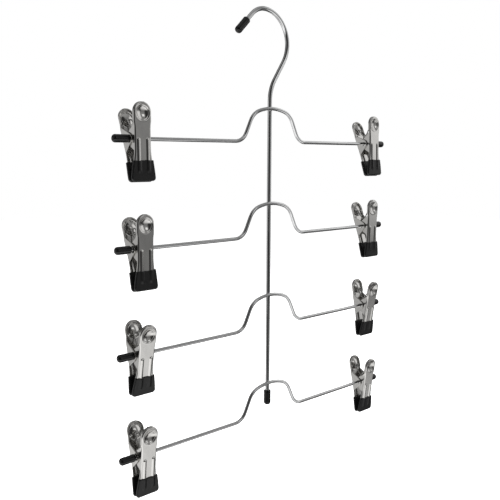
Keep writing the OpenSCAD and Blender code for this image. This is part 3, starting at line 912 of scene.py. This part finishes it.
FE, BE = front_pt(rest_n(5, 17), 17), back_pt(rest_n(0, 18), 18)
FA = math.atan2(FE[1], FE[0]) - math.acos(COIL_R / np.linalg.norm(FE))
BA = math.atan2(BE[1], BE[0]) + math.acos(COIL_R / np.linalg.norm(BE))
COIL_PITCH = 2 * SPRING_R + 0.12
COIL_X0 = 6.2 - SPRING_R
SWEEP = 2 * math.pi * 2 + ((FA - BA) % (2 * math.pi))
COIL_X1 = COIL_X0 - COIL_PITCH * SWEEP / (2 * math.pi)


def round_corners(p, r, n=6):
    """A polyline with its inner corners rounded."""
    out = [np.asarray(p[0], float)]
    for a, b, c in zip(p[:-2], p[1:-1], p[2:]):
        a, b, c = map(lambda q: np.asarray(q, float), (a, b, c))
        u1, u2 = unit(a - b), unit(c - b)
        cosang = float(np.clip(u1 @ u2, -1, 1))
        half = math.acos(cosang) / 2
        t = min(r / math.tan(half), 0.45 * np.linalg.norm(a - b), 0.45 * np.linalg.norm(c - b))
        s, e = b + u1 * t, b + u2 * t
        for q in np.linspace(0, 1, n):
            out.append((1 - q) ** 2 * s + 2 * q * (1 - q) * b + q * q * e)
    out.append(np.asarray(p[-1], float))
    return np.array(out)


def spring_parts():
    coil, legs, loop = [], [], []
    for sg in (1, -1):
        pts = []
        for i in range(25):                       # a closed end ring, so that a leg meets it at any angle
            a = FA + 2 * math.pi * (1 - i / 24.0)
            pts.append((sg * COIL_X0, COIL_R * math.cos(a), COIL_R * math.sin(a)))
        n = int(SWEEP / (2 * math.pi) * 24)
        for i in range(1, n + 1):
            a = FA - SWEEP * i / n
            pts.append((sg * (COIL_X0 - COIL_PITCH * SWEEP / (2 * math.pi) * i / n), COIL_R * math.cos(a), COIL_R * math.sin(a)))
        for i in range(1, 25):
            a = BA - 2 * math.pi * i / 24.0
            pts.append((sg * COIL_X1, COIL_R * math.cos(a), COIL_R * math.sin(a)))
        coil.append(tube(np.array(pts), SPRING_R, 12, (1, 0, 0)))
        # front leg: starts along the coil, runs up to the handle's inner face, and ends in a small foot
        lp = [(sg * COIL_X0, COIL_R * math.cos(FA - q), COIL_R * math.sin(FA - q)) for q in np.linspace(0.9, 0.0, 6)]
        lp += [(sg * (COIL_X0 - 0.1), *(np.array([COIL_R * math.cos(FA), COIL_R * math.sin(FA)]) * 0.5 + FE * 0.5)), (sg * (COIL_X0 - 0.2), *FE)]
        legs.append(tube(np.array(lp), SPRING_R, 12, (1, 0, 0), 0.0, 0.15))
    bl = []
    cb = np.array([COIL_R * math.cos(BA), COIL_R * math.sin(BA)])
    for sg in (1, -1):
        one = [(sg * COIL_X1, COIL_R * math.cos(BA + q), COIL_R * math.sin(BA + q)) for q in np.linspace(0.9, 0.0, 6)]
        one.append((sg * (COIL_X1 - 0.1), *(cb * 0.45 + BE * 0.55)))
        one.append((sg * (COIL_X1 - 0.15), *(BE + (cb - BE) * 0.0)))
        bl.append(one)
    path = round_corners([np.array(q) for q in bl[0][5:]] + [np.array(q) for q in reversed(bl[1][5:])], 1.1)
    path = np.concatenate([np.array(bl[0][:5]), path, np.array(bl[1][:5])[::-1]])
    loop.append(tube(path, SPRING_R, 12, (1, 0, 0)))
    return coil, legs, loop


def clip_to_row(v, k, which):
    sg = -1 if which == "left" else 1
    a = -math.radians(LEANS[(k, which)])
    x, y, z = v[:, 0], v[:, 1], v[:, 2]
    return np.stack([x + STEM_X + sg * (ARM[sg] - CLIP_IN[k, which]), y * math.cos(a) - z * math.sin(a) + TIER_Y,
                     y * math.sin(a) + z * math.cos(a) + tier_z(k)], 1)


COIL, LEGS, LOOP = spring_parts()
for k in (1, 2, 3, 4):
    for which in ("left", "right"):
        tag = "%d_%s" % (k, which)
        body = "clip_" + tag
        for side, w in (("front", PW), ("back", BACK_HALF)):
            M = seat_matrix(side, k, which)
            place_mesh(PRESSING[side], "%s_plate_%s.pressing" % (side, tag), M, "clip_steel",
                       "%s_%s" % (body, side), ["%s_plate_%s" % (side, tag)])
            t = tip_mesh(w, 100 + 10 * k + (which == "right") + 5 * (side == "back"))
            place_mesh(t, "%s_tip_%s.dip" % (side, tag), M, "dipped_vinyl", "%s_%s" % (body, side),
                       ["%s_tip_%s" % (side, tag)])
            bpy.data.meshes.remove(t)
        for nm, parts, b, rep in (("coil", COIL, "slider", ["spring_" + tag]), ("legs", LEGS, "front", None), ("loop", LOOP, "back", None)):
            v, f, u, wr = join_parts(parts)
            build("spring_%s.%s" % (tag, nm), clip_to_row(v, k, which), f, u, "spring_wire", "%s_%s" % (body, b), rep)

for me in PRESSING.values():
    bpy.data.meshes.remove(me)

# ---------------------------------------------------------------- camera, from the photo's own perspective
F_PX = 674.7
yaw, pitch, roll = math.radians(41.7145), math.radians(-8.013), math.radians(0.288)
loc = Vector((-421.14, -454.33, -106.59)) * MM
fwd = Vector((math.sin(yaw) * math.cos(pitch), math.cos(yaw) * math.cos(pitch), math.sin(pitch)))
right = Vector((math.cos(yaw), -math.sin(yaw), 0))
up = right.cross(fwd)
r2 = right * math.cos(roll) + up * math.sin(roll)
u2 = -right * math.sin(roll) + up * math.cos(roll)
cam_data = bpy.data.cameras.new("camera")
cam = bpy.data.objects.new("camera", cam_data)
cam_data.sensor_fit = "HORIZONTAL"
cam_data.sensor_width = 36
cam_data.lens = F_PX / 500 * 36
cam_data.clip_start = 0.01
cam_data.clip_end = 50
cam.matrix_world = Matrix(((r2.x, u2.x, -fwd.x, loc.x), (r2.y, u2.y, -fwd.y, loc.y), (r2.z, u2.z, -fwd.z, loc.z), (0, 0, 0, 1)))
bpy.context.scene.collection.objects.link(cam)
bpy.context.scene.camera = cam

# ---------------------------------------------------------------- floor
fm = bpy.data.meshes.new("floor")
fm.from_pydata([(-6, -6, -0.75), (6, -6, -0.75), (6, 6, -0.75), (-6, 6, -0.75)], [], [(0, 1, 2, 3)])
floor = bpy.data.objects.new("floor", fm)
bpy.context.scene.collection.objects.link(floor)
m, nt, b = nodes_of("pale_floor")
co = add(nt, "ShaderNodeTexCoord").outputs["Object"]
nz = noise(nt, co, 3.0, 3)
nt.links.new(ramp(nt, nz, [(0.3, grey(0.93)), (0.7, grey(0.96))]), b.inputs["Base Color"])
b.inputs["Roughness"].default_value = 0.8
b.inputs["Emission Color"].default_value = (1, 1, 1, 1)
b.inputs["Emission Strength"].default_value = 0.75
fm.materials.append(m)
floor.visible_glossy = False

# ---------------------------------------------------------------- light: a white studio whose horizon reads grey in the metal
sc = bpy.context.scene
world = bpy.data.worlds.new("studio")
sc.world = world
world.use_nodes = True
wn = world.node_tree
wn.nodes.clear()
out = add(wn, "ShaderNodeOutputWorld")
bg = add(wn, "ShaderNodeBackground")
gen = add(wn, "ShaderNodeTexCoord").outputs["Generated"]
sep = add(wn, "ShaderNodeSeparateXYZ")
wn.links.new(gen, sep.inputs[0])


def along(d):
    n = add(wn, "ShaderNodeVectorMath", operation="DOT_PRODUCT")
    wn.links.new(gen, n.inputs[0])
    n.inputs[1].default_value = d
    return n.outputs["Value"]


# directions as angles in degrees: 0 is the front left corner of the set, 90 its right, +90 straight up
front = Vector((-0.6643, -0.7475, 0)).normalized()
az = math_node(wn, "MULTIPLY", math_node(wn, "ARCTAN2", along((-front.y, front.x, 0)), along(front)), 180 / math.pi)
el = math_node(wn, "MULTIPLY", math_node(wn, "ARCSINE", sep.outputs[2]), 180 / math.pi)
el01 = math_node(wn, "MULTIPLY_ADD", el, 1 / 180, 0.5)


def e(d):
    return (d + 90) / 180


tent = ramp(wn, el01, [(e(d), grey(v)) for d, v in
    [(-90, 0.50), (-66, 0.54), (-54, 0.64), (-43, 0.88), (-33, 0.86), (-26, 0.55), (-18, 0.26), (-8, 0.20), (0, 0.27),
     (12, 0.27), (26, 0.24), (42, 0.22), (60, 0.34), (90, 0.42)]])
total = add(wn, "ShaderNodeSeparateColor")
wn.links.new(tent, total.inputs[0])
total = total.outputs[0]


def edge_step(v, a, s):
    n = add(wn, "ShaderNodeMapRange", interpolation_type="SMOOTHSTEP")
    wn.links.new(v, n.inputs["Value"])
    n.inputs["From Min"].default_value = a - s
    n.inputs["From Max"].default_value = a + s
    return n.outputs["Result"]


def card(az0, az1, el0, el1, s_az, s_el, amount):
    """A soft-edged card of the set: light where amount is positive, a dark flag where it is negative."""
    global total
    w = math_node(wn, "MULTIPLY", edge_step(az, az0, s_az), math_node(wn, "SUBTRACT", 1.0, edge_step(az, az1, s_az)))
    h = math_node(wn, "MULTIPLY", edge_step(el, el0, s_el), math_node(wn, "SUBTRACT", 1.0, edge_step(el, el1, s_el)))
    total = math_node(wn, "MULTIPLY_ADD", math_node(wn, "MULTIPLY", w, h), amount, total)


card(-40, 40, -23, 62, 13, 7, -0.30)        # the gap round the lens, and the dark ceiling above it
card(90.5, 128, -6.5, 42, 3, 5, 0.62)           # right-hand softbox
card(46, 70, 14, 32, 6, 5, 0.90)            # small softbox beside the lens
card(102, 190, -75, -18, 2, 5, -0.85)       # dark floor behind to the right
card(48, 101, -82, -44, 9, 6, 0.24)         # its lit edge
card(128, 182, 15, 43, 6, 6, 0.52)          # the softbox's far end
card(84, 101, -22, -10, 4, 3, -0.18)        # gap under the softbox
card(83, 91, -12, 8, 3, 3, -0.12)           # its frame, at the left and below
card(91.5, 97, -31, -21, 2, 2, -0.42)
card(93, 104, -44, -31.5, 3, 2.5, -0.75)
card(-128, -74, -26, 9, 8, 6, 0.30)         # light wall at the left
card(138, 190, -24, 14, 12, 6, -0.17)       # the dark end of the room, right and left of the set's back
card(-190, -138, -34, 14, 12, 6, -0.20)
card(-115, 48, -50, -27, 12, 5, 0.34)       # lit floor in front and to the left
card(-175, -88, 14, 60, 14, 12, -0.15)      # flag at the left
total = math_node(wn, "MAXIMUM", total, 0.032)
lp = add(wn, "ShaderNodeLightPath")
mix2 = add(wn, "ShaderNodeMix", data_type="FLOAT")
wn.links.new(lp.outputs["Is Camera Ray"], mix2.inputs["Factor"])
wn.links.new(total, mix2.inputs["A"])
mix2.inputs["B"].default_value = 1.0
wn.links.new(mix2.outputs["Result"], bg.inputs["Color"])
bg.inputs["Strength"].default_value = 1.0
wn.links.new(bg.outputs[0], out.inputs["Surface"])

def area(name, loc, target, size, power, glossy=True):
    ld = bpy.data.lights.new(name, "AREA")
    ld.shape = "RECTANGLE"
    ld.size, ld.size_y = size
    ld.energy = power
    ob = bpy.data.objects.new(name, ld)
    ob.location = loc
    d = Vector(target) - Vector(loc)
    ob.rotation_euler = d.to_track_quat("-Z", "Y").to_euler()
    ob.visible_glossy = glossy
    ob.visible_camera = False
    bpy.context.scene.collection.objects.link(ob)
    return ob

area("floor_wash", (0, 0.6, 1.6), (0, 0.8, -0.75), (4, 4), 120, glossy=False)

sc.view_settings.view_transform = "Standard"
sc.view_settings.look = "None"
sc.view_settings.exposure = 0
sc.view_settings.gamma = 1

bpy.context.view_layer.update()
